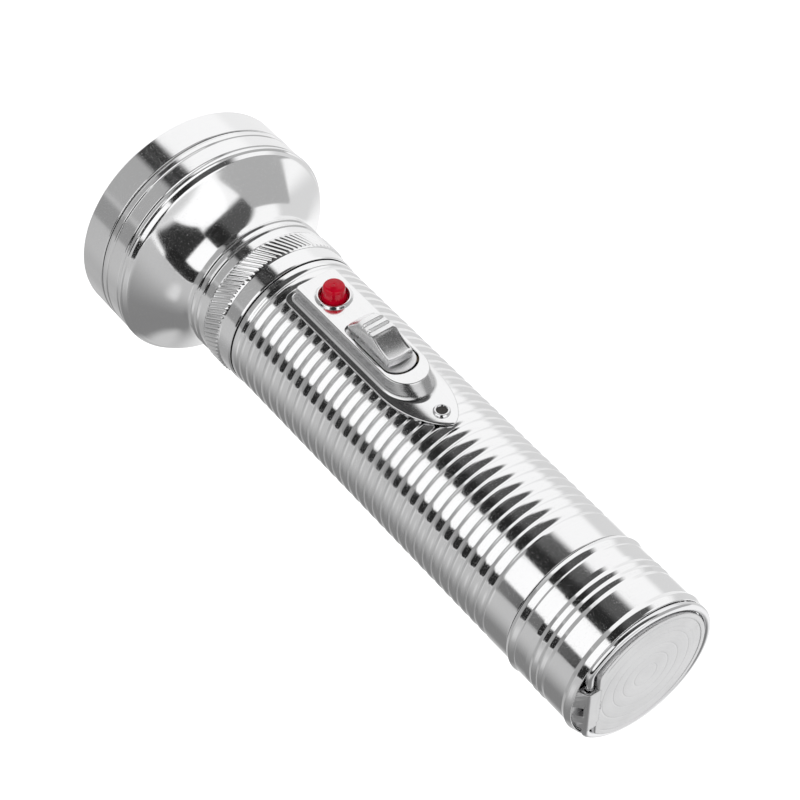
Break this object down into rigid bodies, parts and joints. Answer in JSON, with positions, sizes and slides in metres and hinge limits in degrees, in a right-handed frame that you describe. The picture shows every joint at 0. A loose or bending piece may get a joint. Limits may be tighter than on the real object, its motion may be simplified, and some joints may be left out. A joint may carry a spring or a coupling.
{
  "type": "pocket flashlight",
  "caption": "Polished aluminium flashlight with a bell head, ringed barrel, slide switch with red signal button, screw tail cap and folding wire hang ring.",
  "frame": {"origin": "centre of the lens ring's front rim plane, on the flashlight's axis", "axes": "+Z along the axis from the lens to the tail, -Y out through the slide switch, +X completes a right-handed frame"},
  "size_m": [0.061, 0.061, 0.1778],
  "materials": {
    "polished_aluminium": "bright polished",
    "satin_aluminium": "satin, stamped",
    "plated_wire": "bright plated wire",
    "tinned_steel": "dull tin plate",
    "contact_brass": "plain brass",
    "silvered_reflector": "silvered",
    "clear_glass": "clear, polished",
    "red_button": "translucent red, glossy",
    "black_rubber": "matt",
    "vulcanised_fibre": "matt fibre",
    "black_moulding": "moulded, slightly glossy",
    "cell_mix": "dull"
  },
  "bodies": {
    "barrel": {"body_tube": "polished_aluminium", "switch_cover": "polished_aluminium", "switch_insulator": "vulcanised_fibre", "contact_strip": "contact_brass", "switch_rivet": "contact_brass", "front_cell_can": "tinned_steel", "front_cell_cap": "tinned_steel", "front_cell_mix": "cell_mix", "rear_cell_can": "tinned_steel", "rear_cell_cap": "tinned_steel", "rear_cell_mix": "cell_mix"},
    "slider": {"slider": "polished_aluminium", "slider_carriage": "contact_brass"},
    "button": {"red_button": "red_button"},
    "bulb_unit": {"bulb_glass": "clear_glass", "bulb_cap": "contact_brass", "bulb_tip": "contact_brass", "bulb_holder": "black_moulding", "contact_plate": "vulcanised_fibre", "centre_contact": "contact_brass"},
    "head": {"head_shell": "polished_aluminium", "reflector": "silvered_reflector"},
    "lens_unit": {"lens": "clear_glass", "lens_gasket": "black_rubber"},
    "lens_ring": {"lens_ring": "polished_aluminium"},
    "tail_contact": {"tail_spring": "tinned_steel"},
    "tail_cap": {"tail_cap": "polished_aluminium", "tail_plate": "satin_aluminium"},
    "hang_ring": {"hang_ring": "plated_wire"}
  },
  "joints": [
    {"name": "slider_slide", "type": "slide", "parent": "barrel", "child": "slider", "axis": [0, 0, -1], "range_m": [0, 0.0036]},
    {"name": "button_press", "type": "slide", "parent": "barrel", "child": "button", "axis": [0, 1, 0], "range_m": [0, 0.0008], "stiffness_N_per_m": 600},
    {"name": "head_advance", "type": "slide", "parent": "barrel", "child": "bulb_unit", "axis": [0, 0, -1], "range_m": [0, 0.00455]},
    {"name": "head_turn", "type": "hinge", "parent": "bulb_unit", "child": "head", "pos_m": [0, 0, 0.039], "axis": [0, 0, -1], "range_deg": [0, 1080]},
    {"name": "lens_advance", "type": "slide", "parent": "head", "child": "lens_unit", "axis": [0, 0, -1], "range_m": [0, 0.00305]},
    {"name": "lens_ring_turn", "type": "hinge", "parent": "lens_unit", "child": "lens_ring", "pos_m": [0, 0, 0.0044], "axis": [0, 0, -1], "range_deg": [0, 1080]},
    {"name": "tail_advance", "type": "slide", "parent": "barrel", "child": "tail_contact", "axis": [0, 0, 1], "range_m": [0, 0.00455]},
    {"name": "tail_turn", "type": "hinge", "parent": "tail_contact", "child": "tail_cap", "pos_m": [0, 0, 0.164], "axis": [0, 0, 1], "range_deg": [0, 1080]},
    {"name": "ring_swing", "type": "hinge", "parent": "tail_cap", "child": "hang_ring", "pos_m": [0.01479, 0.00052, 0.176], "axis": [-0.0349, 0.9994, 0], "range_deg": [0, 160]}
  ],
  "couplings": [
    {"joint": "head_advance", "follows": "head_turn", "m_per_rad": 0.00023873},
    {"joint": "lens_advance", "follows": "lens_ring_turn", "m_per_rad": 0.00015915},
    {"joint": "tail_advance", "follows": "tail_turn", "m_per_rad": 0.00023873}
  ]
}
